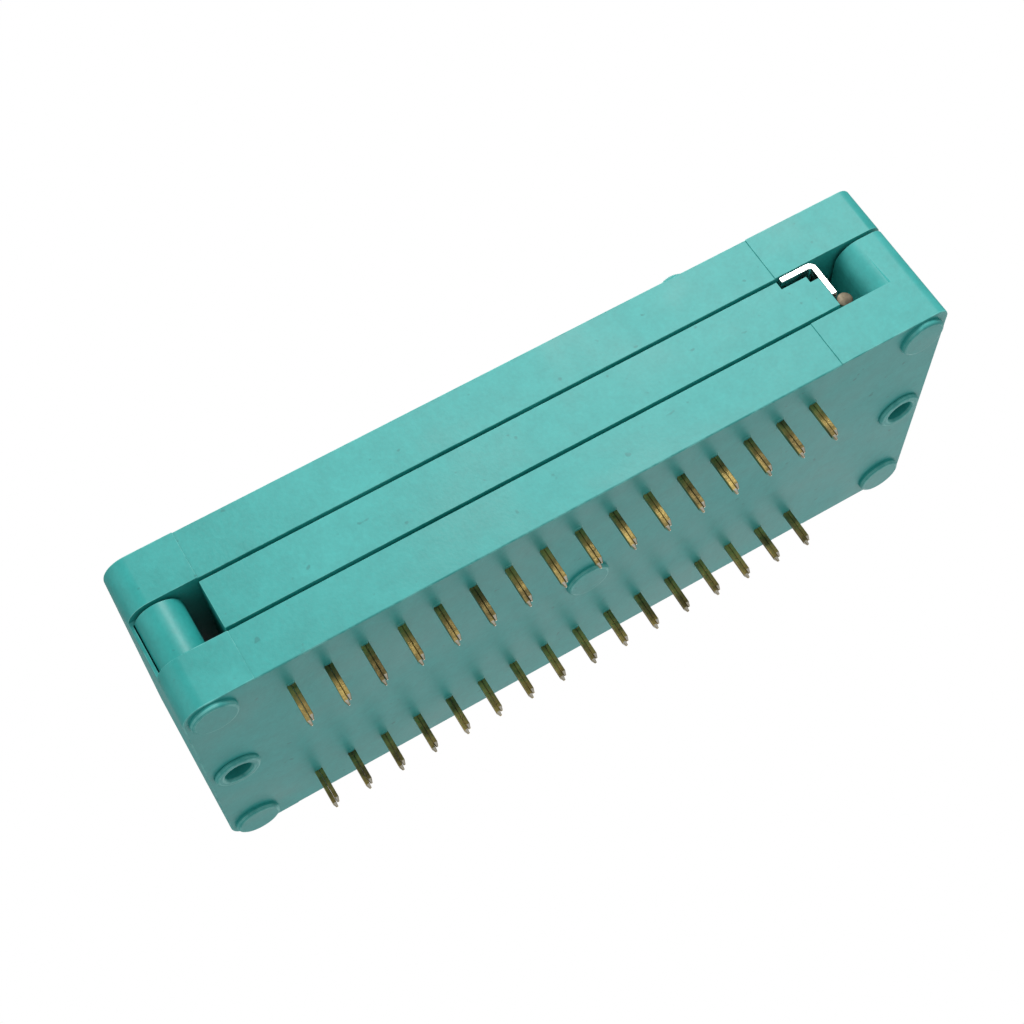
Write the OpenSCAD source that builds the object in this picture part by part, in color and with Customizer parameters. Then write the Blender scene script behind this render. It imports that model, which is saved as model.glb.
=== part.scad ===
// Zero insertion force socket for dual in-line packages: base, sliding plate and slotted cover
// in green moulded plastic, bent sheet contacts, and a wire lever that cranks the plate along.
// Millimetres. +Z is up, the contact tails point down, +X runs along the rows towards the lever.
// The origin is the centre of the contact field on the plane of the four moulded feet.

/* [Contact field] */
// Distance between neighbouring contacts in a row
pin_pitch = 2.54; // [2:0.01:3]
// Contacts in each row
row_pins = 16; // [4:1:16]
// Distance between the two rows of tails
row_span = 15.24; // [12:0.01:18]

/* [Body] */
// Width of the body across the rows
body_w = 22.4; // [20:0.1:30]
// Body length beyond the first contact, at the plain end
plain_margin = 6.9; // [6.5:0.1:10]
// Body length beyond the last contact, at the lever end
lever_margin = 10.2; // [9.8:0.1:14]
// Thickness of the base plate
base_t = 3.6; // [3:0.1:6]
// Thickness of the cover
cover_t = 3.6; // [3:0.1:6]
// Thickness of the sliding plate
slider_t = 3.55; // [3.2:0.05:5]
// Gap under and over the sliding plate
slider_gap = 0.25; // [0.1:0.01:0.5]
// Corner radius at the plain end, seen from above
plain_corner_r = 1.7; // [0.5:0.1:2.5]
// Corner radius at the lever end, seen from above
lever_corner_r = 1; // [0.3:0.1:2]
// Depth of the long shallow panel in each side
panel_depth = 0.08; // [0.02:0.01:0.2]

/* [Feet and stakes] */
// Height of the moulded feet
foot_h = 0.4; // [0.2:0.05:1]
// Radius of a foot
foot_r = 1.6; // [1:0.1:2]
// Distance from the body's end to the feet and stakes
foot_inset = 1.95; // [1.8:0.05:2.2]
// Radius of the hollow stake that holds the cover
stake_r = 1.25; // [1.15:0.05:1.4]
// Radius of the hole in the stake
stake_hole_r = 0.95; // [0.5:0.05:1]
// Radius of the rolled rim under the base
stake_rim_r = 1.6; // [1.5:0.05:1.9]
// Height of the rolled rim
stake_rim_h = 0.35; // [0.1:0.05:0.4]
// Distance from the body's middle to the fifth pad, towards the lever
middle_pad_x = 0.4; // [0:0.1:1]
// Height of the fifth pad
middle_pad_h = 0.35; // [0.1:0.05:0.4]

/* [Corner posts] */
// Radius of the posts' rounded faces
post_r = 1.6; // [1.2:0.1:1.8]
// Distance from the plain end to the posts' faces
post_setback = 0.35; // [0.2:0.05:0.6]
// Thickness of the cover's tongue between the posts
tongue_t = 0.8; // [0.5:0.05:1]
// Depth of the tongue below the top of the base plate
tongue_drop = 0.25; // [0.1:0.05:1]

/* [Contacts] */
// Thickness of the contact sheet
sheet_t = 0.3; // [0.2:0.01:0.35]
// Width of a tail across the rows
tail_w = 0.55; // [0.3:0.05:0.8]
// Length of a tail below the base
tail_len = 2.9; // [2:0.1:5]
// Outer width of the contact's fork along the row
fork_w = 0.9; // [0.7:0.01:0.95]
// Thickness of the fork's arms
arm_t = 0.17; // [0.1:0.01:0.22]
// Width of the fork across the rows
fork_len = 6.4; // [4:0.1:6.8]
// Distance from the middle of the socket to the forks' inner edge
fork_inner = 2.9; // [2:0.1:3.5]
// Depth of the fork's tips below the top of the cover
fork_sink = 1.6; // [1.3:0.05:2.5]

/* [Slots] */
// Width of a lead slot in the cover
lead_slot_w = 0.84; // [0.6:0.02:1]
// Width of the slot's flared mouth
mouth_w = 1.45; // [1.1:0.05:1.9]
// Depth of the flared mouth
mouth_depth = 0.65; // [0.3:0.05:1]
// Thickness of the sliding plate's webs between windows
web_t = 0.45; // [0.3:0.05:0.5]

/* [Lever] */
// Radius of the lever's wire
wire_r = 0.75; // [0.6:0.01:0.8]
// Radius of the wire's turned-down near tip
tip_r = 0.55; // [0.4:0.01:0.6]
// Travel of the sliding plate
slide_travel = 1; // [0.6:0.05:1.1]
// Turn of the lever from open to closed, in degrees
lever_swing = 93; // [80:1:100]
// Distance from the last contact to the lever's axis
axis_from_last = 5; // [4.9:0.05:5.2]
// Height of the lever's axis over the base plate
axis_over_base = 0.65; // [0.6:0.01:0.9]
// Distance from the body's side to the arm's middle
arm_out = 2.4; // [2.4:0.05:4]
// Bend radius of the wire's middle line
bend_r = 1.6; // [1.2:0.1:2]
// Distance from the lever's axis to the knob's tip
lever_len = 20.4; // [18:0.1:26]
// Radius of the knob
knob_r = 2; // [1.6:0.05:2.1]
// Length of the knob
knob_len = 9; // [6:0.1:12]

/* [Wear plate] */
// Thickness of the bent wear plate
plate_t = 0.42; // [0.3:0.01:0.43]
// Length of the plate's top flange
flange_len = 2.68; // [2:0.01:2.8]

/* [Hidden] */
$fn = 48;
fit = 0.05; // clearance between fixed pieces
run = 0.05; // clearance of a running fit
eps = 0.02; // overlap that makes a cut break through

half_pins = (row_pins - 1) * pin_pitch / 2;
x_plain = -half_pins - plain_margin;
x_lever = half_pins + lever_margin;
half_w = body_w / 2;

z_under = foot_h;
z_base = z_under + base_t;
z_slide0 = z_base + slider_gap;
z_slide1 = z_slide0 + slider_t;
z_cover0 = z_slide1 + slider_gap;
z_cover1 = z_cover0 + cover_t;

// long shallow panels in the sides
panel_plain_inset = 4.95;
panel_lever_inset = 8.4;
x_panel0 = x_plain + panel_plain_inset;
x_panel1 = x_lever - panel_lever_inset;
x_middle = (x_plain + x_lever) / 2;

// feet, stakes and posts
x_foot0 = x_plain + foot_inset;
x_foot1 = x_lever - foot_inset;
y_foot = half_w - foot_r - 0.2;
y_post = half_w - post_r;
x_post0 = x_plain + post_setback + post_r;
x_post1 = x_lever - foot_inset - 0.1;
block_x = x_post1 - post_r;
rest_w = 2.4; // width of the pads that carry the cover
rest_y = 4.6; // their distance from the middle
y_tongue = half_w - 1.25;
x_tongue = x_plain + tongue_t;
rest_x1 = x_post0 + post_r;
rim_edge = 0.15; // chamfer on the feet and rims

// contact heights
pocket_gap = 0.06; // clearance of a contact in its pocket
anchor_w = 1.9; // width of the blade that anchors a contact
anchor_z0 = z_under + 0.5;
fork_z0 = z_base - 0.7;
fork_z1 = z_cover1 - fork_sink;
fork_y0 = fork_inner;
fork_y1 = fork_inner + fork_len;
tail_z0 = z_under - tail_len;
tail_tip = 0.35; // length of the tail's chamfered tip
shoulder_h = 0.9; // length of the tail's wide root
shoulder_w = 0.25; // what the root adds to the tail's width

// lever axis and crank
x_axis = half_pins + axis_from_last;
z_axis = z_base + axis_over_base;
crank_start = 90 - lever_swing / 2;
crank_e = slide_travel / 2 / cos(crank_start);
x_crank = x_axis + crank_e * cos(crank_start);
z_crank = z_axis + crank_e * sin(crank_start);

// sliding plate and wear plate
x_plate1 = x_crank - wire_r - run;
x_slide1 = x_plate1 - plate_t;
x_slide0 = -half_pins - 2;
half_slide = half_w - panel_depth;
window_w = pin_pitch - web_t;
window_x0 = -fork_w / 2 - fit;
z_plate1 = z_slide1 + 0.2;
flange_gap = 0.4; // clearance under the plate's flange
notch_x = x_plate1 - flange_len - 0.3;
notch_z = z_plate1 - plate_t - flange_gap;
step_w = 0.65; // relief at the sliding plate's top corner
step_h = 0.5;

// rails that carry and cover the sliding plate
rail_h = slider_gap - run;
rail_mid_w = 2;
rail_side_w = 0.5;
rail_side_y = fork_inner + fork_len + 0.6;
x_rail0 = x_slide0 + slide_travel;
x_rail1 = x_plate1 - flange_len - slide_travel - 2 * run;

// lever
lean = lever_swing - 90; // the open lever leans past upright
y_tip = -half_w + 0.5;
y_crank0 = -half_w + 6.2;
y_crank1 = half_w - 5.4;
y_arm = half_w + arm_out;
journal_lap = 0.3; // length over which crank and journals overlap
lap_clear = journal_lap + 0.1; // length kept free round an overlap
lug_w = 1.9; // width of the cover's lugs over the journals
lug_gap = 0.4; // distance from the lugs to the crank
near_leg_z = z_axis + tip_r - 0.05;
mid_leg_z = z_slide0 + 0.15;
far_leg_z = z_axis + wire_r + 0.05;

// Position of contact i along the row, counted from 0 at the plain end
function pin_x(i) = -half_pins + i * pin_pitch;

// Box given by its two corners
module box(low, high) {
    translate(low)
        cube(high - low);
}

// Body outline with its own corner radius at each end
module outline(grow = 0) {
    r0 = plain_corner_r;
    r1 = lever_corner_r;
    union() {
        translate([x_plain + r0, -half_w - grow])
            square([x_lever - r1 - x_plain - r0, body_w + 2 * grow]);
        translate([x_plain - grow, -half_w + r0])
            square([r0 + grow + eps, body_w - 2 * r0]);
        translate([x_lever - r1 - eps, -half_w + r1])
            square([r1 + eps + grow, body_w - 2 * r1]);
        for (side = [-1, 1]) {
            translate([x_plain + r0, side * (half_w - r0)])
                circle(r0 + grow);
            translate([x_lever - r1, side * (half_w - r1)])
                circle(r1 + grow);
        }
    }
}

// Slab with the body's outline between two heights
module slab(z0, z1) {
    translate([0, 0, z0])
        linear_extrude(z1 - z0)
            outline();
}

// Shallow panels sunk in both long sides
module side_panels(z0, z1) {
    for (side = [-1, 1])
        box([x_panel0, side * half_w - panel_depth, z0],
            [x_panel1, side * half_w + panel_depth, z1]);
}

// Cylinder along Y between two stations
module along_y(x, z, r, y0, y1) {
    translate([x, y0, z])
        rotate([-90, 0, 0])
            cylinder(r = r, h = y1 - y0);
}

// Profile drawn in X and Z, pushed along Y
module push_y(y0, y1) {
    translate([0, y1, 0])
        rotate([90, 0, 0])
            linear_extrude(y1 - y0)
                children();
}

module post_plain(side) {
    translate([x_post0, side * y_post, z_base - eps])
        cylinder(r = post_r, h = z_slide1 - z_base + eps);
}

module post_lever(side) {
    translate([x_post1, side * y_post, z_base - eps])
        cylinder(r = post_r, h = z_slide1 - z_base + eps);
}

// Cuts for one contact in the base: tail slot, anchor pocket and fork pocket
module contact_pocket(i, side) {
    g = pocket_gap;
    y_row = side * row_span / 2;
    x = pin_x(i);
    ys = side > 0 ? [fork_y0, fork_y1] : [-fork_y1, -fork_y0];
    box([x - sheet_t / 2 - g, y_row - (tail_w + shoulder_w) / 2 - g, z_under - eps],
        [x + sheet_t / 2 + g, y_row + (tail_w + shoulder_w) / 2 + g, anchor_z0]);
    box([x - sheet_t / 2 - g, y_row - anchor_w / 2 - g, anchor_z0 - g],
        [x + sheet_t / 2 + g, y_row + anchor_w / 2 + g, z_base]);
    box([x - fork_w / 2 - g, ys[0] - g, fork_z0 - g],
        [x + fork_w / 2 + g, ys[1] + g, z_base + eps]);
}

module base() {
    color([0.35, 0.74, 0.70])
        difference() {
            union() {
                slab(z_under, z_base);
                for (side = [-1, 1]) {
                    post_plain(side);
                    post_lever(side);
                    for (x = [x_foot0, x_foot1])
                        translate([x, side * y_foot, z_under])
                            pad(foot_r, foot_h);
                    box([x_tongue + fit, side * rest_y - rest_w / 2, z_base - eps],
                        [rest_x1, side * rest_y + rest_w / 2, z_cover0]);
                }
                intersection() {
                    slab(z_base - eps, z_slide1);
                    box([x_post1, -half_w, z_base - eps], [x_lever, half_w, z_slide1]);
                }
                box([block_x, -y_post, z_base - eps], [x_post1 + eps, y_post, z_slide1]);
                for (side = [-1, 1])
                    box([block_x + 1, side * rest_y - rest_w / 2, z_slide1 - eps],
                        [x_lever - 0.8, side * rest_y + rest_w / 2, z_cover0]);
                translate([x_middle + middle_pad_x, 0, z_under])
                    pad(foot_r, middle_pad_h);
                rails(z_base - eps, z_base + rail_h);
                half_saddle(y_crank0 - lug_gap - lug_w, y_crank0 - lug_gap);
                half_saddle(y_crank1 + lug_gap, y_crank1 + lug_gap + lug_w);
            }
            side_panels(z_under, z_base + eps);
            for (i = [0 : row_pins - 1])
                for (side = [-1, 1])
                    contact_pocket(i, side);
            for (x = [x_foot0, x_foot1])
                translate([x, 0, z_under - eps])
                    cylinder(r = stake_r + fit, h = z_cover0);
            box([x_plain - eps, -y_tongue - fit, z_base - tongue_drop - fit],
                [x_tongue + fit, y_tongue + fit, z_base + eps]);
            along_y(x_axis, z_axis, tip_r + run, y_tip - 1, y_crank0);
            along_y(x_axis, z_axis, wire_r + run, y_crank1 - lap_clear, half_w + 1);
        }
}

// Round pad under the body, its rim chamfered
module pad(r, h) {
    rotate_extrude()
        polygon([[0, eps], [r, eps], [r, rim_edge - h], [r - rim_edge, -h], [0, -h]]);
}

// Low rails along the sliding plate: one in the middle and one outside each row of forks
module rails(z0, z1) {
    box([x_rail0, -rail_mid_w / 2, z0], [x_rail1, rail_mid_w / 2, z1]);
    for (side = [-1, 1])
        box([x_rail0, side * rail_side_y - rail_side_w / 2, z0],
            [x_rail1, side * rail_side_y + rail_side_w / 2, z1]);
}

// Block behind a journal that takes the lever's thrust
module half_saddle(y0, y1) {
    box([x_axis, y0, z_base - eps], [block_x + eps, y1, z_axis + 0.3]);
}

module slider() {
    color([0.31, 0.73, 0.69])
        difference() {
            box([x_slide0, -half_slide, z_slide0], [x_slide1, half_slide, z_slide1]);
            for (i = [0 : row_pins - 1])
                for (side = [-1, 1])
                    slider_window(i, side);
            box([notch_x, -half_w, notch_z], [x_slide1 + eps, half_w, z_slide1 + eps]);
            box([x_slide1 - step_w, -half_w, notch_z - step_h],
                [x_slide1 + eps, half_w, notch_z + eps]);
            box([x_axis - wire_r - 2 * run, y_crank1 - lap_clear, z_slide0 - eps],
                [x_slide1 + eps, half_w, far_leg_z]);
        }
}

// Window in the sliding plate that lets one fork through and moves round it
module slider_window(i, side) {
    ys = side > 0 ? [fork_y0, fork_y1] : [-fork_y1, -fork_y0];
    box([pin_x(i) + window_x0, ys[0] - 0.2, z_slide0 - eps],
        [pin_x(i) + window_x0 + window_w, ys[1] + 0.2, z_slide1 + eps]);
}

// Slot through the cover: room for the fork below, a narrow throat and a flared mouth
module lead_slot(i, side) {
    ys = side > 0 ? [fork_y0, fork_y1] : [-fork_y1, -fork_y0];
    room = fork_w / 2 + 0.1;
    throat = lead_slot_w / 2;
    mouth = mouth_w / 2;
    z_room = fork_z1 + 0.1;
    z_mouth = z_cover1 - mouth_depth;
    translate([pin_x(i), 0, 0])
        push_y(ys[0] - 0.15, ys[1] + 0.15)
            polygon([
                [-room, z_cover0 - eps],
                [room, z_cover0 - eps],
                [room, z_room],
                [throat, z_room],
                [throat, z_mouth],
                [mouth, z_cover1 + eps],
                [-mouth, z_cover1 + eps],
                [-throat, z_mouth],
                [-throat, z_room],
                [-room, z_room]
            ]);
}

module cover() {
    color([0.36, 0.76, 0.72])
        difference() {
            union() {
                slab(z_cover0, z_cover1);
                difference() {
                    intersection() {
                        slab(z_base - tongue_drop, z_cover0 + eps);
                        box([x_plain, -y_tongue, z_base - tongue_drop],
                            [x_tongue, y_tongue, z_cover0 + eps]);
                    }
                    for (side = [-1, 1])
                        translate([x_post0, side * y_post, 0])
                            cylinder(r = post_r + 0.1, h = z_cover0 - slider_gap);
                }
                for (x = [x_foot0, x_foot1])
                    stake(x);
                rails(z_cover0 - rail_h, z_cover0 + eps);
                lug(y_crank0 - lug_gap - lug_w, y_crank0 - lug_gap, tip_r);
                lug(y_crank1 + lug_gap, y_crank1 + lug_gap + lug_w, wire_r);
            }
            side_panels(z_cover0 - eps, z_cover1 + eps);
            for (i = [0 : row_pins - 1])
                for (side = [-1, 1])
                    lead_slot(i, side);
            for (x = [x_foot0, x_foot1])
                translate([x, 0, 0])
                    cylinder(r = stake_hole_r, h = z_cover1 - 1.5);
        }
}

// Hollow stake through the base, its end rolled out into a rim
module stake(x) {
    translate([x, 0, z_under])
        cylinder(r = stake_r, h = z_cover0 - z_under + eps);
    translate([x, 0, z_under])
        rotate_extrude()
            rim_profile();
}

// Half section of the rolled rim, with a chamfered rim and a countersunk mouth
module rim_profile() {
    r0 = stake_hole_r;
    r1 = stake_rim_r;
    h = stake_rim_h;
    polygon([
        [r0 - eps, 0],
        [r1, 0],
        [r1, rim_edge - h],
        [r1 - rim_edge, -h],
        [r0 + rim_edge, -h],
        [r0 - eps, rim_edge - h]
    ]);
}

// Lug under the cover that keeps a journal down
module lug(y0, y1, r) {
    box([x_axis - 0.2, y0, z_axis + r + run], [block_x - fit, y1, z_cover0 + eps]);
}

// Bent steel angle on the sliding plate's end, which the crank pushes
module wear_plate() {
    x0 = x_plate1 - plate_t;
    bend = plate_t + 0.15;
    color([0.86, 0.86, 0.84]) {
        difference() {
            union() {
                box([x_plate1 - flange_len, -half_slide, z_plate1 - plate_t],
                    [x_plate1 - bend + eps, half_slide, z_plate1]);
                box([x0, -half_slide, near_leg_z],
                    [x_plate1, half_slide, z_plate1 - bend + eps]);
                box([x0, y_crank0 + lap_clear, mid_leg_z],
                    [x_plate1, y_crank1 - lap_clear, near_leg_z + eps]);
                intersection() {
                    box([x_plate1 - bend, -half_slide, z_plate1 - bend],
                        [x_plate1, half_slide, z_plate1]);
                    along_y(x_plate1 - bend, z_plate1 - bend, bend, -half_slide, half_slide);
                }
            }
            along_y(x_plate1 - bend, z_plate1 - bend, bend - plate_t, -half_w, half_w);
            box([x0 - eps, y_crank1 - lap_clear, near_leg_z - eps],
                [x_plate1 + eps, half_w, far_leg_z]);
        }
    }
}

// Wire lever: near tip, crank, far journal, bend and leaning arm
module lever() {
    color([0.80, 0.80, 0.78])
        union() {
            along_y(x_axis, z_axis, tip_r, y_tip, y_crank0 + journal_lap);
            along_y(x_crank, z_crank, wire_r, y_crank0, y_crank1);
            along_y(x_axis, z_axis, wire_r, y_crank1 - journal_lap, y_arm - bend_r);
            translate([x_axis, y_arm, z_axis])
                rotate([0, lean, 0])
                    arm();
        }
}

// Bend and arm, drawn about the lever's axis with the arm upright
module arm() {
    translate([0, -bend_r, bend_r])
        rotate([90, 0, 90])
            rotate([0, 0, -90])
                rotate_extrude(angle = 90)
                    translate([bend_r, 0])
                        circle(wire_r);
    translate([0, 0, bend_r])
        cylinder(r = wire_r, h = lever_len - knob_r - bend_r);
}

// Moulded knob with a domed tip and a small collar
module lever_knob() {
    color([0.30, 0.70, 0.66])
        translate([x_axis, y_arm, z_axis])
            rotate([0, lean, 0])
                difference() {
                    translate([0, 0, lever_len - knob_len])
                        rotate_extrude()
                            knob_profile();
                    cylinder(r = wire_r + 0.01, h = lever_len - knob_r + 0.02);
                }
}

// Half section of the knob: neck, body and domed tip
module knob_profile() {
    neck_r = 0.8 * knob_r;
    union() {
        square([neck_r, 1]);
        translate([0, 0.6])
            square([knob_r, knob_len - knob_r - 0.6]);
        intersection() {
            translate([0, knob_len - knob_r])
                circle(knob_r);
            translate([0, knob_len - knob_r - eps])
                square([knob_r, knob_r + eps]);
        }
    }
}

// One contact: tail, anchor blade and a fork that the lead drops into
module contact(i, side) {
    y_row = side * row_span / 2;
    ys = side > 0 ? [fork_y0, fork_y1] : [-fork_y1, -fork_y0];
    color([0.72, 0.60, 0.30])
        translate([pin_x(i), 0, 0])
            union() {
                tail(y_row);
                box([-sheet_t / 2, y_row - anchor_w / 2, anchor_z0],
                    [sheet_t / 2, y_row + anchor_w / 2, fork_z0 + arm_t]);
                push_y(ys[0], ys[1])
                    fork_profile();
            }
}

// Flat tail with a wide root and a chamfered tip, drawn across the rows
module tail(y_row) {
    w = tail_w / 2;
    root = (tail_w + shoulder_w) / 2;
    translate([-sheet_t / 2, y_row, 0])
        rotate([90, 0, 90])
            linear_extrude(sheet_t)
                polygon([
                    [-w / 2, tail_z0],
                    [w / 2, tail_z0],
                    [w, tail_z0 + tail_tip],
                    [w, z_under - shoulder_h],
                    [root, z_under - shoulder_h + 0.2],
                    [root, anchor_z0 + eps],
                    [-root, anchor_z0 + eps],
                    [-root, z_under - shoulder_h + 0.2],
                    [-w, z_under - shoulder_h],
                    [-w, tail_z0 + tail_tip]
                ]);
}

// Fork seen along the row's cross direction: flat foot, two arms, flared tips
module fork_profile() {
    w = fork_w / 2;
    pinch = 0.08; // how far the arms lean in at their narrowest
    z_pinch = z_cover0 + 0.6;
    polygon([
        [-w, fork_z0],
        [w, fork_z0],
        [w - pinch, z_pinch],
        [w, fork_z1],
        [w - arm_t, fork_z1],
        [w - arm_t - pinch, z_pinch],
        [w - arm_t, fork_z0 + arm_t],
        [-w + arm_t, fork_z0 + arm_t],
        [-w + arm_t + pinch, z_pinch],
        [-w + arm_t, fork_z1],
        [-w, fork_z1],
        [-w + pinch, z_pinch]
    ]);
}

base();
slider();
cover();
wear_plate();
lever();
lever_knob();
for (i = [0 : row_pins - 1]) {
    contact(i, -1);
    contact(i, 1);
}
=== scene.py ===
"""Looks of a lever-worked zero insertion force socket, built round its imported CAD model.

The socket stands on the tips of its 32 tails. Each moulded or bent piece is refined from the CAD node that it
stands for: its facets are merged, its worked edges are rounded, and it gets a finish of its own.
"""

import sys

import logging
import math
from dataclasses import dataclass, field, replace
from enum import Enum
from typing import Callable, ClassVar, Sequence

import bmesh
import bpy
from mathutils import Euler, Matrix, Vector


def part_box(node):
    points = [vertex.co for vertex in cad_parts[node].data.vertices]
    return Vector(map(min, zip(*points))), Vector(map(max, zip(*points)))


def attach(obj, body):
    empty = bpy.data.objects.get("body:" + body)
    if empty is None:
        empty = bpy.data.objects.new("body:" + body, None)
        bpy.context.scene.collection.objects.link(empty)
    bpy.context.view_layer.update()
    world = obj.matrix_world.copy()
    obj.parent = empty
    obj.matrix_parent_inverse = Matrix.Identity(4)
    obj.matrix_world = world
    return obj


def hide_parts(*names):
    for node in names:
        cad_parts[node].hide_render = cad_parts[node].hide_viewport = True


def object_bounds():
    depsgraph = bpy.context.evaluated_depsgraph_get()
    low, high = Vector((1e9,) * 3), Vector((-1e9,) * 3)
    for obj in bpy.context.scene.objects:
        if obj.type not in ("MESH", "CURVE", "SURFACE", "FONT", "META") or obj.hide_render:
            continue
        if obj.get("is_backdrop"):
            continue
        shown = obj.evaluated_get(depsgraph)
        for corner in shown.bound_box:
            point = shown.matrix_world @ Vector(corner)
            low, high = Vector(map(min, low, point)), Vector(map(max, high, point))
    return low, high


MM = 0.001
UNDERSIDE = 0.4 * MM  # height of the body's underside
MERGE = 0.001 * MM  # vertices closer than this are one
FLAT_TURN = 0.6  # degrees, a turn below this is a flat face
SMOOTH_TURN = 32.0  # degrees, a turn above this is a hard edge
WHITE = (1.0, 1.0, 1.0, 1.0)
log = logging.getLogger("socket")


class Body(Enum):
    """The moving bodies that pieces ride on."""

    HOUSING = "housing"
    SLIDE = "slide"
    LEVER = "lever"


class Slot(Enum):
    """The record's material slots."""

    PLASTIC = "green_plastic"
    CONTACT = "contact_metal"
    STEEL = "steel"


# ---------------------------------------------------------------- finishes


@dataclass(frozen=True)
class Shade:
    """A small kit for building one node material.

    Attributes:
        name: the material's name.
    """

    name: str

    def start(self) -> tuple[bpy.types.Material, bpy.types.NodeTree, bpy.types.Node]:
        """Makes the material with an empty shader.

        Returns:
            The material, its node tree and its main shader node.
        """
        mat = bpy.data.materials.new(self.name)
        mat.use_nodes = True
        tree = mat.node_tree
        tree.nodes.clear()
        out = tree.nodes.new("ShaderNodeOutputMaterial")
        bsdf = tree.nodes.new("ShaderNodeBsdfPrincipled")
        tree.links.new(bsdf.outputs["BSDF"], out.inputs["Surface"])
        return mat, tree, bsdf


def scaled_place(tree: bpy.types.NodeTree, scale: Sequence[float]) -> bpy.types.NodeSocket:
    """Object coordinates, stretched.

    Args:
        tree: the material's tree.
        scale: factor along X, Y and Z, in periods a metre.

    Returns:
        The vector socket to read.
    """
    place = tree.nodes.new("ShaderNodeTexCoord")
    mapping = tree.nodes.new("ShaderNodeMapping")
    mapping.inputs["Scale"].default_value = scale
    tree.links.new(place.outputs["Object"], mapping.inputs["Vector"])
    return mapping.outputs["Vector"]


def noise(
    tree: bpy.types.NodeTree,
    scale: Sequence[float],
    detail: float = 3.0,
    rough: float = 0.55,
    distortion: float = 0.0,
) -> bpy.types.NodeSocket:
    """Adds a noise pattern.

    Args:
        tree: the material's tree.
        scale: periods a metre along X, Y and Z.
        detail: octaves.
        rough: weight of the fine octaves.
        distortion: how far the pattern is stirred.

    Returns:
        The noise value's socket.
    """
    node = tree.nodes.new("ShaderNodeTexNoise")
    node.inputs["Scale"].default_value = 1.0
    node.inputs["Detail"].default_value = detail
    node.inputs["Roughness"].default_value = rough
    node.inputs["Distortion"].default_value = distortion
    tree.links.new(scaled_place(tree, scale), node.inputs["Vector"])
    return node.outputs["Fac"]


def ramp(
    tree: bpy.types.NodeTree,
    value: bpy.types.NodeSocket,
    stops: Sequence[tuple[float, Sequence[float]]],
) -> bpy.types.NodeSocket:
    """Turns a value into a colour.

    Args:
        tree: the material's tree.
        value: the socket to read.
        stops: place and linear RGB of each stop.

    Returns:
        The colour's socket.
    """
    node = tree.nodes.new("ShaderNodeValToRGB")
    elements = node.color_ramp.elements
    while len(elements) < len(stops):
        elements.new(0.5)
    for element, (place, rgb) in zip(elements, stops):
        element.position = place
        element.color = (*rgb, 1.0)
    tree.links.new(value, node.inputs["Fac"])
    return node.outputs["Color"]


def span(
    tree: bpy.types.NodeTree,
    value: bpy.types.NodeSocket,
    low: float,
    high: float,
    start: float = 0.3,
    end: float = 0.7,
) -> bpy.types.NodeSocket:
    """Maps a value from one range to another.

    Args:
        tree: the material's tree.
        value: the socket to read.
        low: result at start.
        high: result at end.
        start: value that gives low.
        end: value that gives high.

    Returns:
        The result's socket.
    """
    node = tree.nodes.new("ShaderNodeMapRange")
    node.inputs["From Min"].default_value = start
    node.inputs["From Max"].default_value = end
    node.inputs["To Min"].default_value = low
    node.inputs["To Max"].default_value = high
    tree.links.new(value, node.inputs["Value"])
    return node.outputs["Result"]


def mixed(
    tree: bpy.types.NodeTree,
    first: bpy.types.NodeSocket,
    second: bpy.types.NodeSocket | Sequence[float],
    share: bpy.types.NodeSocket | float,
    how: str = "MIX",
) -> bpy.types.NodeSocket:
    """Blends two colours.

    Args:
        tree: the material's tree.
        first: the first colour's socket.
        second: the second colour's socket, or a linear RGB.
        share: how much of the second, a socket or a number.
        how: the blend's name.

    Returns:
        The blended colour's socket.
    """
    node = tree.nodes.new("ShaderNodeMix")
    node.data_type = "RGBA"
    node.blend_type = how
    tree.links.new(first, node.inputs[6])
    if isinstance(second, bpy.types.NodeSocket):
        tree.links.new(second, node.inputs[7])
    else:
        node.inputs[7].default_value = (*second, 1.0)
    if isinstance(share, bpy.types.NodeSocket):
        tree.links.new(share, node.inputs[0])
    else:
        node.inputs[0].default_value = share
    return node.outputs[2]


def bump(
    tree: bpy.types.NodeTree,
    bsdf: bpy.types.Node,
    height: bpy.types.NodeSocket,
    depth: float,
    strength: float = 1.0,
) -> None:
    """Raises a surface by a value.

    Args:
        tree: the material's tree.
        bsdf: the shader that gets the bump.
        height: the value's socket.
        depth: height of the relief in metres.
        strength: how much of it shows.
    """
    node = tree.nodes.new("ShaderNodeBump")
    node.inputs["Distance"].default_value = depth
    node.inputs["Strength"].default_value = strength
    tree.links.new(height, node.inputs["Height"])
    tree.links.new(node.outputs["Normal"], bsdf.inputs["Normal"])


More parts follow.
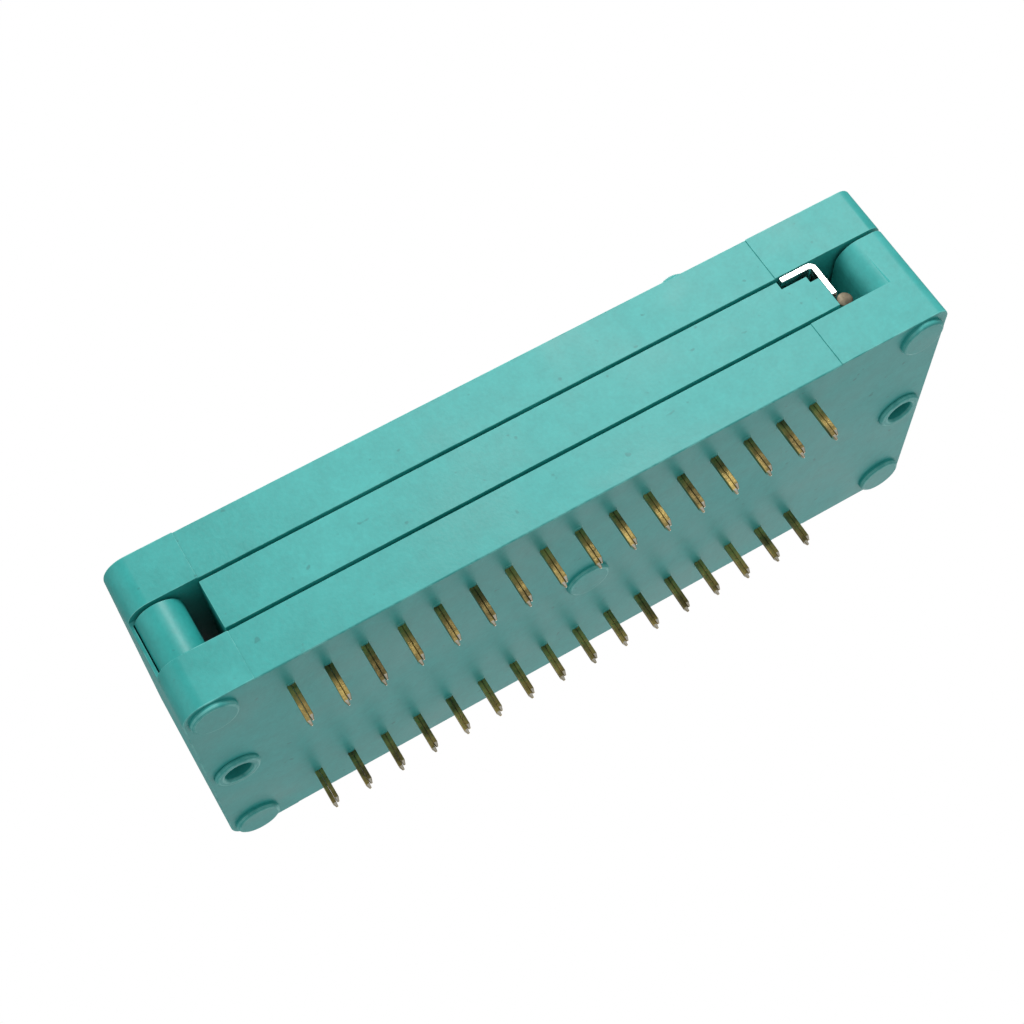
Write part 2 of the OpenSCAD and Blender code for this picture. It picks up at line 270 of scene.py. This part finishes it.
@dataclass(frozen=True)
class MouldedPlastic:
    """Glass-filled teal moulding compound, slightly cloudy, with a fine erosion grain.

    Attributes:
        name: the material's name.
        base: linear RGB of the compound.
        cloud: linear RGB of its paler clouds.
        deep: linear RGB of its darker clouds.
        gloss: mean roughness.
        offset: shifts the cloud pattern so that pieces differ.
        wear: share of the pale rim colour, partly chalky wear and partly a painted highlight, for the rims of
            the mouldings.
    """

    name: str = "teal moulding"
    base: tuple[float, float, float] = (0.040, 0.450, 0.420)
    cloud: tuple[float, float, float] = (0.060, 0.490, 0.460)
    deep: tuple[float, float, float] = (0.030, 0.405, 0.375)
    gloss: float = 0.46
    offset: float = 0.0
    wear: float = 0.0

    def make(self) -> bpy.types.Material:
        """Builds the material."""
        mat, tree, bsdf = Shade(self.name).start()
        s = 1.0 + self.offset
        broad = noise(tree, (110 * s, 150, 130), detail=2.0, distortion=0.3)
        colour = ramp(tree, broad, [(0.32, self.deep), (0.5, self.base), (0.68, self.cloud)])
        mottle = noise(tree, (950 * s, 950, 950), detail=3.0, rough=0.55)
        mottled = ramp(tree, mottle, [(0.34, (0.455, 0.455, 0.455)), (0.66, (0.545, 0.545, 0.545))])
        colour = mixed(tree, colour, mottled, 0.5, "OVERLAY")
        fine = noise(tree, (3600, 3600 * s, 3600), detail=2.0, rough=0.5)
        grainy = ramp(tree, fine, [(0.3, (0.44, 0.44, 0.44)), (0.7, (0.56, 0.56, 0.56))])
        colour = mixed(tree, colour, grainy, 0.35, "OVERLAY")
        dirt = noise(tree, (1500, 1500, 1500 * s), detail=1.0)
        colour = mixed(tree, colour, (0.02, 0.20, 0.19), span(tree, dirt, 0.0, 0.5, 0.74, 0.8))
        # Paler rim colour: partly chalky wear, partly a painted highlight along the roundings.
        pale = span(tree, mottle, 0.25 * self.wear, self.wear, 0.4, 0.6)
        colour = mixed(tree, colour, (0.33, 0.86, 0.80), pale)
        tree.links.new(colour, bsdf.inputs["Base Color"])
        rough = span(tree, broad, self.gloss - 0.05, self.gloss + 0.07)
        tree.links.new(rough, bsdf.inputs["Roughness"])
        grain = noise(tree, (4200, 4200, 4200), detail=3.0, rough=0.6)
        bump(tree, bsdf, grain, 0.000012, 0.6)
        return mat


@dataclass(frozen=True)
class DrawnMetal:
    """Metal with fine lines from drawing or rolling.

    Attributes:
        name: the material's name.
        light: linear RGB where it is clean.
        dark: linear RGB where it is dull.
        lines: periods a metre of the lines along X, Y and Z.
        gloss: roughness where it is clean and where it is dull.
        relief: depth of the lines in metres.
    """

    name: str
    light: tuple[float, float, float]
    dark: tuple[float, float, float]
    lines: tuple[float, float, float]
    gloss: tuple[float, float] = (0.2, 0.36)
    relief: float = 0.000004

    def make(self) -> bpy.types.Material:
        """Builds the material."""
        mat, tree, bsdf = Shade(self.name).start()
        streak = noise(tree, self.lines, detail=4.0, rough=0.6)
        patch = noise(tree, (700, 700, 700), detail=2.0)
        tone = ramp(tree, patch, [(0.35, self.dark), (0.62, self.light)])
        worn = ramp(tree, streak, [(0.3, (0.4, 0.4, 0.4)), (0.7, (0.6, 0.6, 0.6))])
        tree.links.new(mixed(tree, tone, worn, 0.6, "OVERLAY"), bsdf.inputs["Base Color"])
        bsdf.inputs["Metallic"].default_value = 1.0
        tree.links.new(span(tree, streak, *self.gloss), bsdf.inputs["Roughness"])
        bump(tree, bsdf, streak, self.relief, 0.5)
        return mat


@dataclass(frozen=True)
class OneSidedFloor:
    """A pale matt floor that is seen from above only, so that a low camera looks through it.

    Attributes:
        name: the material's name.
        colour: linear RGB.
        fade: distances from the middle where the floor starts and ends to clear, in metres.
    """

    name: str = "pale floor"
    colour: tuple[float, float, float] = (0.82, 0.82, 0.82)
    fade: tuple[float, float] = (0.10, 0.42)

    def make(self) -> bpy.types.Material:
        """Builds the material."""
        mat, tree, bsdf = Shade(self.name).start()
        bsdf.inputs["Base Color"].default_value = (*self.colour, 1.0)
        bsdf.inputs["Roughness"].default_value = 0.9
        clear = tree.nodes.new("ShaderNodeBsdfTransparent")
        side = tree.nodes.new("ShaderNodeNewGeometry")
        mix = tree.nodes.new("ShaderNodeMixShader")
        out = next(n for n in tree.nodes if n.type == "OUTPUT_MATERIAL")
        place = tree.nodes.new("ShaderNodeTexCoord")
        away = tree.nodes.new("ShaderNodeVectorMath")
        away.operation = "LENGTH"
        tree.links.new(place.outputs["Object"], away.inputs[0])
        faded = span(tree, away.outputs["Value"], 0.0, 1.0, *self.fade)
        gone = tree.nodes.new("ShaderNodeMath")
        gone.operation = "MAXIMUM"
        tree.links.new(side.outputs["Backfacing"], gone.inputs[0])
        tree.links.new(faded, gone.inputs[1])
        tree.links.new(gone.outputs["Value"], mix.inputs["Fac"])
        tree.links.new(bsdf.outputs["BSDF"], mix.inputs[1])
        tree.links.new(clear.outputs["BSDF"], mix.inputs[2])
        tree.links.new(mix.outputs["Shader"], out.inputs["Surface"])
        return mat


# ---------------------------------------------------------------- bench tools


def only(obj: bpy.types.Object) -> None:
    """Makes obj the one selected and active object."""
    for other in bpy.context.selected_objects:
        other.select_set(False)
    obj.select_set(True)
    bpy.context.view_layer.objects.active = obj


def from_node(node: str, name: str) -> bpy.types.Object:
    """Copies a CAD node's form into a new piece and merges its loose triangles.

    Args:
        node: the CAD node's name.
        name: the new piece's name.

    Returns:
        The new piece, at the origin.
    """
    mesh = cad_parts[node].data.copy()
    mesh.name = name
    mesh.materials.clear()
    obj = bpy.data.objects.new(name, mesh)
    bpy.context.scene.collection.objects.link(obj)
    only(obj)
    bpy.ops.object.mode_set(mode="EDIT")
    bpy.ops.mesh.select_all(action="SELECT")
    bpy.ops.mesh.remove_doubles(threshold=MERGE)
    bpy.ops.mesh.dissolve_limited(angle_limit=math.radians(FLAT_TURN))
    bpy.ops.mesh.select_all(action="DESELECT")
    bpy.ops.object.mode_set(mode="OBJECT")
    return obj


def reach(face: bmesh.types.BMFace, edge: bmesh.types.BMEdge) -> float:
    """How far a face reaches from one of its edges, in metres."""
    along = (edge.verts[1].co - edge.verts[0].co).normalized()
    start = edge.verts[0].co
    return max(((v.co - start) - along * (v.co - start).dot(along)).length for v in face.verts)


def weigh_edges(
    obj: bpy.types.Object,
    width: float,
    sharp: float = 28.0,
    share: Callable[[Vector], float] = lambda place: 1.0,
) -> None:
    """Marks the outer corners to round, each by what its faces have room for.

    Args:
        obj: the piece.
        width: the full rounding in metres.
        sharp: an edge turns by at least this much, in degrees.
        share: tells from an edge's middle how much of the full rounding it gets.
    """
    room_used = 0.42
    least = 0.06
    mesh = obj.data
    layer = mesh.attributes.get("bevel_weight_edge")
    layer = layer or mesh.attributes.new("bevel_weight_edge", "FLOAT", "EDGE")
    work = bmesh.new()
    work.from_mesh(mesh)
    weights = []
    for edge in work.edges:
        weight = 0.0
        outer = len(edge.link_faces) == 2 and edge.is_convex
        if outer and edge.calc_face_angle(0.0) > math.radians(sharp):
            room = min(reach(face, edge) for face in edge.link_faces)
            wanted = share((edge.verts[0].co + edge.verts[1].co) / 2)
            weight = min(wanted, room_used * room / width)
        weights.append(weight if weight > least else 0.0)
    work.free()
    layer.data.foreach_set("value", weights)


def round_edges(obj: bpy.types.Object, width: float, segments: int = 2, rim: int = 0) -> None:
    """Rounds the marked edges and smooths the shading of gentle turns.

    Args:
        obj: the piece, its edges marked by weigh_edges.
        width: the full rounding in metres.
        segments: facets across a rounding.
        rim: the material that the roundings take.
    """
    only(obj)
    bevel = obj.modifiers.new("worked edges", "BEVEL")
    bevel.limit_method = "WEIGHT"
    bevel.width = width
    bevel.segments = segments
    bevel.use_clamp_overlap = False
    bevel.material = rim
    bevel.miter_outer = "MITER_SHARP"
    bpy.ops.object.modifier_apply(modifier=bevel.name)
    bpy.ops.object.shade_smooth_by_angle(angle=math.radians(SMOOTH_TURN))
    evened = obj.modifiers.new("even shading", "WEIGHTED_NORMAL")
    evened.keep_sharp = True
    evened.weight = 100
    bpy.ops.object.modifier_apply(modifier=evened.name)


def contact_nodes() -> list[str]:
    """Names of the CAD nodes that are contacts, in order."""
    return sorted(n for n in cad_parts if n.startswith("contact_"))


def tail_place(node: str) -> Vector:
    """Middle of a contact's tail tip.

    Args:
        node: the contact's CAD node.

    Returns:
        The tip's middle.
    """
    points = [v.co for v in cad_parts[node].data.vertices]
    lowest = min(p.z for p in points)
    tip = [p for p in points if p.z < lowest + 0.01 * MM]
    return sum(tip, Vector()) / len(tip)


def dress(obj: bpy.types.Object, *materials: bpy.types.Material) -> None:
    """Gives a piece its materials, the first one everywhere."""
    obj.data.materials.clear()
    for material in materials:
        obj.data.materials.append(material)


def settle(obj: bpy.types.Object, body: Body, slot: Slot, *nodes: str) -> None:
    """Ties a finished piece to its body and hides the CAD nodes that it stands for.

    Args:
        obj: the piece.
        body: the body that it rides on.
        slot: the record's material slot; not used.
        nodes: the CAD nodes that it replaces.
    """
    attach(obj, body.value)
    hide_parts(*nodes)
    log.info("%s: %d faces on %s", obj.name, len(obj.data.polygons), body.value)


# ---------------------------------------------------------------- mouldings


@dataclass
class Moulding:
    """One moulded piece, refined from its CAD node.

    Attributes:
        node: the CAD node.
        name: the piece's name.
        body: the body that it rides on.
        finish: its finish.
        edge: rounding of its outer corners in metres.
        pad_share: share of the rounding on the pads below the underside.
        outline_share: share of it on the outlines of the underside and the top.
        seam_share: share of it everywhere else, as beside the seams.
        rim_wear_and_highlight: pale colour of the roundings, partly chalky wear and partly a painted
            highlight.
    """

    node: str
    name: str
    body: Body
    finish: MouldedPlastic
    edge: float = 0.14 * MM
    pad_share: float = 1.0
    outline_share: float = 0.65
    seam_share: float = 0.25
    rim_wear_and_highlight: float = 0.45

    def share(self, place: Vector) -> float:
        """Rounding of the edge at a place: full on the pads, little beside the seams.

        Args:
            place: the edge's middle.

        Returns:
            The share of the full rounding.
        """
        near = 0.02 * MM
        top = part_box(self.node)[1].z
        if place.z < UNDERSIDE - near:
            return self.pad_share
        outer = min(place.z - UNDERSIDE, top - place.z) < near and self.node != "slider"
        return self.outline_share if outer else self.seam_share

    def build(self) -> bpy.types.Object:
        """Merges the form, rounds it and dresses it."""
        obj = from_node(self.node, self.name)
        self.detail(obj)
        weigh_edges(obj, self.edge, share=self.share)
        # The roundings get a paler copy of the finish: chalky wear and a painted highlight.
        worn = replace(self.finish, name=self.finish.name + " rim", wear=self.rim_wear_and_highlight)
        dress(obj, self.finish.make(), worn.make())
        round_edges(obj, self.edge, rim=1)
        settle(obj, self.body, Slot.PLASTIC, self.node)
        return obj

    def detail(self, obj: bpy.types.Object) -> None:
        """Adds what only this moulding has."""


@dataclass
class Base(Moulding):
    """The base, whose tail slots are closed by thin flash round the tails.

    Attributes:
        skin: size of the flash that closes a slot, in metres.
        sunk: how far it lies above the underside, in metres.
    """

    skin: tuple[float, float, float] = (0.46 * MM, 0.98 * MM, 0.15 * MM)
    sunk: float = 0.01 * MM

    def detail(self, obj: bpy.types.Object) -> None:
        """Closes each tail slot just above the underside.

        Args:
            obj: the base.
        """
        middle = UNDERSIDE + self.sunk + self.skin[2] / 2
        plugs = []
        for node in contact_nodes():
            low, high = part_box(node)
            place = ((low.x + high.x) / 2, tail_place(node).y, middle)
            bpy.ops.mesh.primitive_cube_add(size=1, location=place)
            plug = bpy.context.object
            plug.scale = self.skin
            plugs.append(plug)
        only(obj)
        for plug in plugs:
            plug.select_set(True)
        bpy.ops.object.join()


@dataclass
class Mouldings:
    """The four moulded pieces."""

    parts: list[Moulding] = field(
        default_factory=lambda: [
            Base("base", "moulded_base", Body.HOUSING, MouldedPlastic("teal base")),
            Moulding("slider", "sliding_plate", Body.SLIDE, MouldedPlastic("teal slider", offset=0.13)),
            Moulding("cover", "slotted_cover", Body.HOUSING, MouldedPlastic("teal cover", offset=0.27)),
            Moulding(
                "lever_knob", "moulded_knob", Body.LEVER, MouldedPlastic("teal knob", gloss=0.38, offset=0.4)
            ),
        ]
    )

    def build(self) -> None:
        """Builds each moulding in turn."""
        for part in self.parts:
            part.build()


# ---------------------------------------------------------------- metal pieces


@dataclass
class Contacts:
    """The 32 sheet contacts, each with a tail folded from two leaves.

    Attributes:
        edge: rounding left by blanking, in metres.
        leaf: thickness of one leaf, in metres.
        width: width of a tail across the rows, in metres.
        seam: gap between the leaves, in metres.
        step: what the leaf towards the lever lacks in length, in metres.
        length: length of a tail, in metres.
        slant: height of the sheared tip, in metres.
        lean: how far a tip leans away from the seam, in metres.
        narrowing: what is left of a leaf at its tip, along and across the rows.
        cut_height: height where the tail takes over from the blade, in metres.
        sheet: finish of the rolled faces.
        cut: finish of the blanked edges.
        tip: finish of the sheared tips, near white: sheared metal with a painted glint.
    """

    SHEET: ClassVar[int] = 0
    CUT: ClassVar[int] = 1
    TIP: ClassVar[int] = 2

    edge: float = 0.03 * MM
    leaf: float = 0.27 * MM
    width: float = 0.38 * MM
    seam: float = 0.03 * MM
    step: float = 0.28 * MM
    length: float = 3.1 * MM
    slant: float = 0.32 * MM
    lean: float = 0.04 * MM
    narrowing: tuple[float, float] = (0.5, 0.35)
    cut_height: float = 0.52 * MM
    sheet: DrawnMetal = DrawnMetal(
        "gilt sheet", (0.42, 0.33, 0.12), (0.20, 0.17, 0.07), (2600, 2600, 700), (0.3, 0.48)
    )
    cut: DrawnMetal = DrawnMetal(
        "gilt cut edge", (0.62, 0.46, 0.16), (0.22, 0.17, 0.07), (3000, 3000, 5200), (0.24, 0.44), 0.00003
    )
    # Near-white tip colour: a painted glint on the sheared metal.
    tip: DrawnMetal = DrawnMetal(
        "sheared tip with painted glint", (0.95, 0.90, 0.78), (0.80, 0.74, 0.58), (3000, 3000, 3000), (0.16, 0.3)
    )

    def build(self) -> None:
        """Builds both rows."""
        finishes = (self.sheet.make(), self.cut.make(), self.tip.make())
        pattern = self.tail(finishes)
        for node in contact_nodes():
            self.build_one(node, "socket_" + node, pattern, finishes)
        bpy.data.objects.remove(pattern)

    def tail(self, finishes: tuple[bpy.types.Material, ...]) -> bpy.types.Object:
        """Models one tail, its lowest point at the origin's height.

        Args:
            finishes: sheet, cut-edge and tip materials.

        Returns:
            The tail, centred on the Z axis.
        """
        drop = 0.0001 * MM
        leaves = []
        for side, lift in ((-1, 0.0), (1, self.step)):
            middle = side * (self.leaf + self.seam) / 2
            bpy.ops.mesh.primitive_cube_add(size=1, location=(middle, 0, (self.length + lift) / 2))
            obj = bpy.context.object
            obj.scale = (self.leaf, self.width, self.length - lift)
            bpy.ops.object.transform_apply(location=True, rotation=False, scale=True)
            only(obj)
            bpy.ops.object.mode_set(mode="EDIT")
            work = bmesh.from_edit_mesh(obj.data)
            for face in work.faces:
                face.select = face.normal.z < -0.9
            bmesh.update_edit_mesh(obj.data)
            bpy.ops.mesh.extrude_region_move(TRANSFORM_OT_translate={"value": (0, 0, -drop)})
            bpy.ops.mesh.select_all(action="DESELECT")
            work = bmesh.from_edit_mesh(obj.data)
            lowest = min(v.co.z for v in work.verts)
            for vert in work.verts:
                if vert.co.z < lowest + drop / 2:
                    vert.co.x = middle + (vert.co.x - middle) * self.narrowing[0] - side * self.lean
                    vert.co.y *= self.narrowing[1]
                elif vert.co.z < lowest + 0.01 * MM:
                    vert.co.z += self.slant
            bmesh.update_edit_mesh(obj.data)
            bpy.ops.object.mode_set(mode="OBJECT")
            leaves.append(obj)
        only(leaves[0])
        leaves[1].select_set(True)
        bpy.ops.object.join()
        obj = leaves[0]
        weigh_edges(obj, self.edge)
        dress(obj, *finishes)
        for face in obj.data.polygons:
            # The downward sheared facets take the near-white tip finish, a painted glint.
            if face.center.z < 0.3 * MM + self.step and face.normal.z < -0.2:
                face.material_index = self.TIP
            elif abs(face.normal.y) > 0.9:
                face.material_index = self.CUT
        round_edges(obj, self.edge, segments=1, rim=self.CUT)
        return obj

    def build_one(
        self, node: str, name: str, pattern: bpy.types.Object, finishes: tuple[bpy.types.Material, ...]
    ) -> None:
        """Builds one contact from its blade and fork and a copy of the tail.

        Args:
            node: the CAD node.
            name: the piece's name.
            pattern: the tail to copy.
            finishes: sheet, cut-edge and tip materials.
        """
        obj = from_node(node, name)
        bpy.ops.object.mode_set(mode="EDIT")
        bpy.ops.mesh.select_all(action="SELECT")
        bpy.ops.mesh.bisect(
            plane_co=(0, 0, self.cut_height), plane_no=(0, 0, 1), use_fill=True, clear_inner=True
        )
        bpy.ops.object.mode_set(mode="OBJECT")
        weigh_edges(obj, self.edge)
        dress(obj, *finishes)
        for face in obj.data.polygons:
            face.material_index = self.CUT if abs(face.normal.x) < 0.9 else self.SHEET
        round_edges(obj, self.edge, segments=1, rim=self.CUT)
        tail = pattern.copy()
        tail.data = pattern.data.copy()
        bpy.context.scene.collection.objects.link(tail)
        tail.data.transform(Matrix.Translation(tail_place(node)))
        only(obj)
        tail.select_set(True)
        bpy.ops.object.join()
        settle(obj, Body.HOUSING, Slot.CONTACT, node)


@dataclass
class LeverWork:
    """The bent wire and the wear plate that it pushes.

    Attributes:
        wire: finish of the wire.
        strip: finish of the wear plate.
        sheared: finish of the wire's sheared end, dark: oxidised cut metal and painted shade.
        plate_edge: rounding of the wear plate, in metres.
        wire_edge: rounding of the wire's ends, in metres.
        end_depth: depth of the dark end finish at the near end, in metres: oxidised cut metal and painted
            shade.
    """

    wire: DrawnMetal = DrawnMetal(
        "stainless wire", (0.66, 0.65, 0.62), (0.5, 0.49, 0.46), (3600, 500, 3600)
    )
    strip: DrawnMetal = DrawnMetal(
        "stainless strip", (0.86, 0.86, 0.84), (0.7, 0.7, 0.68), (500, 4200, 500), (0.2, 0.3)
    )
    # Dark end colour: oxidised sheared metal, darkened further as painted shade.
    sheared: DrawnMetal = DrawnMetal(
        "sheared wire end in painted shade", (0.20, 0.17, 0.12), (0.06, 0.05, 0.04), (2400, 2400, 2400), (0.45, 0.7), 0.00003
    )
    plate_edge: float = 0.06 * MM
    wire_edge: float = 0.1 * MM
    end_depth: float = 0.12 * MM

    def build(self) -> None:
        """Builds both pieces."""
        plate = from_node("wear_plate", "wear_angle")
        weigh_edges(plate, self.plate_edge)
        round_edges(plate, self.plate_edge)
        dress(plate, self.strip.make())
        settle(plate, Body.SLIDE, Slot.STEEL, "wear_plate")
        rod = from_node("lever", "lever_wire")
        weigh_edges(rod, self.wire_edge, sharp=60)
        round_edges(rod, self.wire_edge)
        dress(rod, self.wire.make(), self.sheared.make())
        # The near end's faces take the dark end finish: oxidised metal and painted shade.
        near_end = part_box("lever")[0].y + self.end_depth
        for face in rod.data.polygons:
            if face.center.y < near_end:
                face.material_index = 1
        settle(rod, Body.LEVER, Slot.STEEL, "lever")


# ---------------------------------------------------------------- studio


@dataclass(frozen=True)
class Lamp:
    """One square lamp that faces the socket.

    Attributes:
        name: its name.
        place: its place in metres.
        size: its side in metres.
        watts: its power.
    """

    name: str
    place: tuple[float, float, float]
    size: float
    watts: float

    def hang(self) -> None:
        """Adds the lamp to the scene."""
        light = bpy.data.lights.new(self.name, "AREA")
        light.size = self.size
        light.energy = self.watts
        lamp = bpy.data.objects.new(self.name, light)
        bpy.context.scene.collection.objects.link(lamp)
        lamp.location = self.place
        lamp.rotation_euler = (-Vector(self.place)).to_track_quat("-Z", "Y").to_euler()


@dataclass
class Studio:
    """Floor, light and camera.

    Attributes:
        floor_side: the floor's side in metres.
        room: strength of the room's even light.
        eye: the camera's place in metres.
        turn: the camera's turn about X, Y and Z in degrees.
        lens: focal length in millimetres on a 36 mm sensor.
        lamps: the lamps.
    """

    floor_side: float = 3.0
    room: float = 0.36
    eye: tuple[float, float, float] = (-0.02780, -0.11408, -0.04456)
    turn: tuple[float, float, float] = (117.882, 30.429, 1.185)
    lens: float = 66.62
    lamps: tuple[Lamp, ...] = (
        Lamp("key", (0.14, -0.32, 0.20), 0.16, 1.0),
        Lamp("fill", (-0.40, -0.25, 0.10), 0.40, 0.4),
        Lamp("back", (0.10, 0.40, 0.30), 0.30, 0.9),
        Lamp("low", (0.12, 0.30, -0.12), 0.34, 0.30),
    )

    def build(self, low: Vector) -> None:
        """Sets the floor at the lowest point, then the lights and the camera.

        Args:
            low: the lowest corner of the socket's box.
        """
        self.floor(low.z)
        self.world()
        for lamp in self.lamps:
            lamp.hang()
        self.camera()

    def floor(self, height: float) -> None:
        """Lays the floor.

        Args:
            height: its height in metres.
        """
        bpy.ops.mesh.primitive_plane_add(size=self.floor_side, location=(0, 0, height))
        plane = bpy.context.object
        plane.name = "studio_floor"
        plane.visible_shadow = plane.visible_diffuse = plane.visible_glossy = False
        dress(plane, OneSidedFloor().make())
        plane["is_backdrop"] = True

    def world(self) -> None:
        """Lights the room evenly."""
        world = bpy.data.worlds.new("studio")
        bpy.context.scene.world = world
        world.use_nodes = True
        tree = world.node_tree
        back = tree.nodes["Background"]
        back.inputs["Color"].default_value = WHITE
        path = tree.nodes.new("ShaderNodeLightPath")
        strength = span(tree, path.outputs["Is Camera Ray"], self.room, 1.0, 0.0, 1.0)
        tree.links.new(strength, back.inputs["Strength"])
        bpy.context.scene.view_settings.view_transform = "Standard"

    def camera(self) -> None:
        """Places the camera."""
        data = bpy.data.cameras.new("camera")
        data.lens = self.lens
        data.sensor_width = 36.0
        data.clip_start = 0.002
        cam = bpy.data.objects.new("camera", data)
        bpy.context.scene.collection.objects.link(cam)
        turn = Euler([math.radians(angle) for angle in self.turn])
        cam.matrix_world = Matrix.Translation(self.eye) @ turn.to_matrix().to_4x4()
        bpy.context.scene.camera = cam


# ---------------------------------------------------------------- assembly


def main() -> None:
    """Builds the socket's pieces and the studio."""
    logging.basicConfig(level=logging.INFO, format="%(name)s: %(message)s", stream=sys.stdout)
    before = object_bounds()
    Mouldings().build()
    Contacts().build()
    LeverWork().build()
    Studio().build(before[0])


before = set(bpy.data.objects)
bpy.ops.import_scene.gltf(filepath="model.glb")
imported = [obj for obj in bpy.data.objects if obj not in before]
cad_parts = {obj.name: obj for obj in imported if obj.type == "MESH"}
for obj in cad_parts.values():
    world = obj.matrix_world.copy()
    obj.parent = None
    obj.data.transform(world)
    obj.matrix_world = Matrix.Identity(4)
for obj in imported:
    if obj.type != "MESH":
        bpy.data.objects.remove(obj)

if __name__ == "__main__":
    main()
